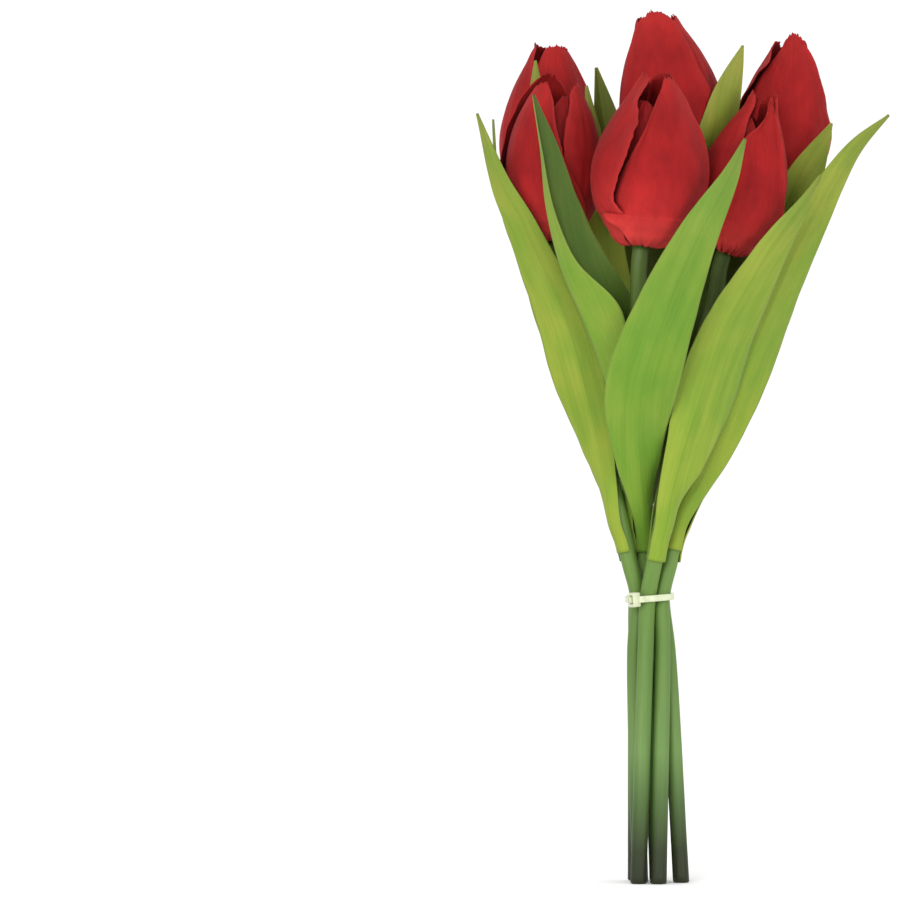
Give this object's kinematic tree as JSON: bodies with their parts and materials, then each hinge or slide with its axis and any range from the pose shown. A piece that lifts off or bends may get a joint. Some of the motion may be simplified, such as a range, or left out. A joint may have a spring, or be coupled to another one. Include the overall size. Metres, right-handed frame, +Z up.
{
  "type": "artificial tulip",
  "caption": "Tied bunch of artificial tulips with fabric heads and long pointed leaves on wired plastic stems, held by a cable tie.",
  "frame": {"origin": "middle of the bundle of cut stem ends, which all lie on the plane z = 0", "axes": "+Z up along the bunch from the cut stem ends to the heads, -Y towards the front of the bunch, +X to its right as seen from the front"},
  "size_m": [0.1592, 0.1128, 0.3369],
  "materials": {
    "petal_fabric": "matt stiffened fabric",
    "leaf_fabric": "matt printed fabric",
    "stem_plastic": "satin moulded",
    "wire_steel": "drawn wire",
    "receptacle_plastic": "satin moulded",
    "tie_nylon": "natural nylon"
  },
  "bodies": {
    "root": {"front_centre_stem": "stem_plastic", "front_centre_wire": "wire_steel", "front_centre_leaf_left": "leaf_fabric", "front_centre_leaf_front": "leaf_fabric", "front_centre_receptacle": "receptacle_plastic", "front_centre_petal_1": "petal_fabric", "front_centre_petal_2": "petal_fabric", "front_centre_petal_3": "petal_fabric", "front_centre_inner_petals": "petal_fabric", "front_left_stem": "stem_plastic", "front_left_wire": "wire_steel", "front_left_leaf_left": "leaf_fabric", "front_left_leaf_back": "leaf_fabric", "front_left_receptacle": "receptacle_plastic", "front_left_petal_1": "petal_fabric", "front_left_petal_2": "petal_fabric", "front_left_petal_3": "petal_fabric", "front_left_inner_petals": "petal_fabric", "back_left_stem": "stem_plastic", "back_left_wire": "wire_steel", "back_left_leaf_inner": "leaf_fabric", "back_left_leaf_outer": "leaf_fabric", "back_left_receptacle": "receptacle_plastic", "back_left_petal_1": "petal_fabric", "back_left_petal_2": "petal_fabric", "back_left_petal_3": "petal_fabric", "back_left_inner_petals": "petal_fabric", "back_centre_stem": "stem_plastic", "back_centre_wire": "wire_steel", "back_centre_leaf_right": "leaf_fabric", "back_centre_leaf_left": "leaf_fabric", "back_centre_receptacle": "receptacle_plastic", "back_centre_petal_1": "petal_fabric", "back_centre_petal_2": "petal_fabric", "back_centre_petal_3": "petal_fabric", "back_centre_inner_petals": "petal_fabric", "front_right_stem": "stem_plastic", "front_right_wire": "wire_steel", "front_right_leaf_right": "leaf_fabric", "front_right_leaf_back": "leaf_fabric", "front_right_receptacle": "receptacle_plastic", "front_right_petal_1": "petal_fabric", "front_right_petal_2": "petal_fabric", "front_right_petal_3": "petal_fabric", "front_right_inner_petals": "petal_fabric", "back_right_stem": "stem_plastic", "back_right_wire": "wire_steel", "back_right_leaf_right": "leaf_fabric", "back_right_leaf_front": "leaf_fabric", "back_right_receptacle": "receptacle_plastic", "back_right_petal_1": "petal_fabric", "back_right_petal_2": "petal_fabric", "back_right_petal_3": "petal_fabric", "back_right_inner_petals": "petal_fabric", "cable_tie": "tie_nylon"}
  },
  "joints": []
}
